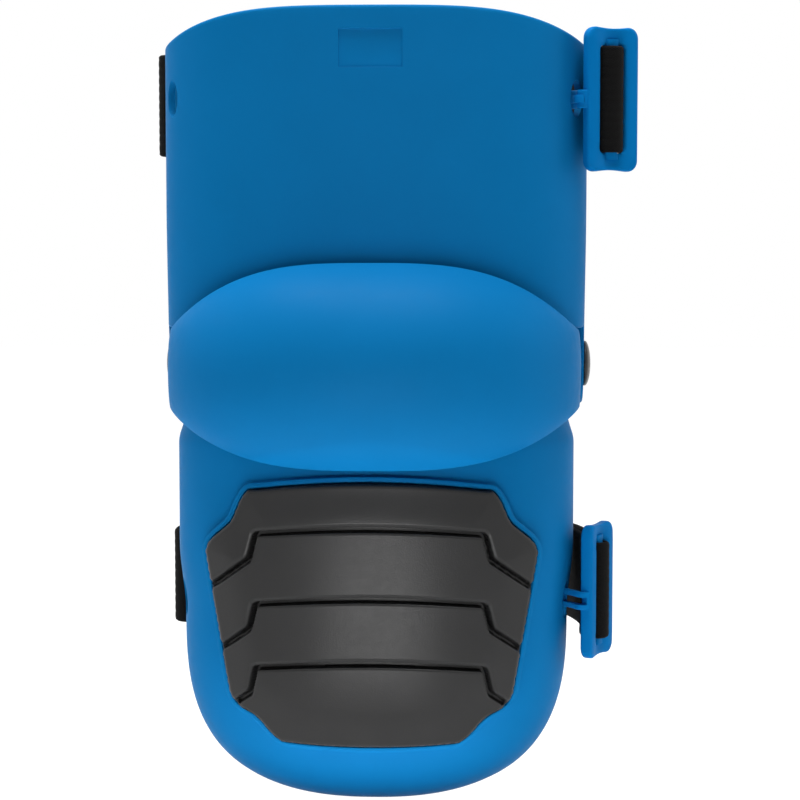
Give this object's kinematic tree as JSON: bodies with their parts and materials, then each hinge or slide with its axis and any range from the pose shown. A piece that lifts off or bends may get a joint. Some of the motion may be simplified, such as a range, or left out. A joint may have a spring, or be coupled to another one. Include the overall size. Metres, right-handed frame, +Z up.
{
  "type": "knee pad",
  "caption": "Articulated hard-shell knee pad with thigh shell, domed knee cap and shin shell on rivets, grooved rubber tread pad, foam lining and hook-on elastic straps",
  "frame": {"origin": "middle of the rivet axis, inside the leg space", "axes": "+X to the right in the picture, +Y back towards the leg, +Z up along the leg"},
  "size_m": [0.1793, 0.1529, 0.285],
  "materials": {
    "shell_blue": "satin moulded",
    "buckle_blue": "satin moulded",
    "tread_rubber": "matte moulded",
    "rivet_black": "black coated",
    "washer_steel": "plain",
    "webbing": "ribbed elastic webbing",
    "hook_tape": "hook-and-loop tape",
    "foam": "fabric-faced foam",
    "knit": "spacer knit"
  },
  "bodies": {
    "shin": {"lower_shell": "shell_blue", "tread_pad": "tread_rubber", "shin_pad": "foam", "shin_lining": "knit", "shin_patch_left": "hook_tape", "shin_patch_right": "hook_tape", "lower_strap": "webbing", "lower_strap_tab": "hook_tape", "hinge_rivet_left": "rivet_black", "hinge_rivet_right": "rivet_black", "hinge_washer_left": "washer_steel", "hinge_washer_right": "washer_steel", "hinge_cap_left": "rivet_black", "hinge_cap_right": "rivet_black"},
    "thigh": {"upper_shell": "shell_blue", "thigh_pad": "foam", "thigh_lining": "knit", "thigh_patch_left": "hook_tape", "thigh_patch_right": "hook_tape", "upper_strap": "webbing", "upper_strap_tab": "hook_tape"},
    "kneecap": {"knee_cap": "shell_blue", "knee_cushion": "foam", "knee_lining": "knit"},
    "upper_buckle": {"upper_buckle": "buckle_blue"},
    "lower_buckle": {"lower_buckle": "buckle_blue"}
  },
  "joints": [
    {"name": "knee_flexion", "type": "hinge", "parent": "shin", "child": "thigh", "pos_m": [0, 0, 0], "axis": [-1, 0, 0], "range_deg": [0, 100]},
    {"name": "kneecap_turn", "type": "hinge", "parent": "shin", "child": "kneecap", "pos_m": [0, 0, 0], "axis": [-1, 0, 0], "range_deg": [0, 50]},
    {"name": "upper_buckle_swing", "type": "hinge", "parent": "thigh", "child": "upper_buckle", "pos_m": [0.072, -0.032, 0.097], "axis": [0, 0, 1], "range_deg": [-12, 40], "deforming": ["upper_strap"]},
    {"name": "lower_buckle_swing", "type": "hinge", "parent": "shin", "child": "lower_buckle", "pos_m": [0.0698, -0.027, -0.0848], "axis": [0, 0, 1], "range_deg": [-10, 14], "deforming": ["lower_strap"]}
  ],
  "couplings": [
    {"joint": "kneecap_turn", "follows": "knee_flexion", "ratio": 0.5}
  ]
}
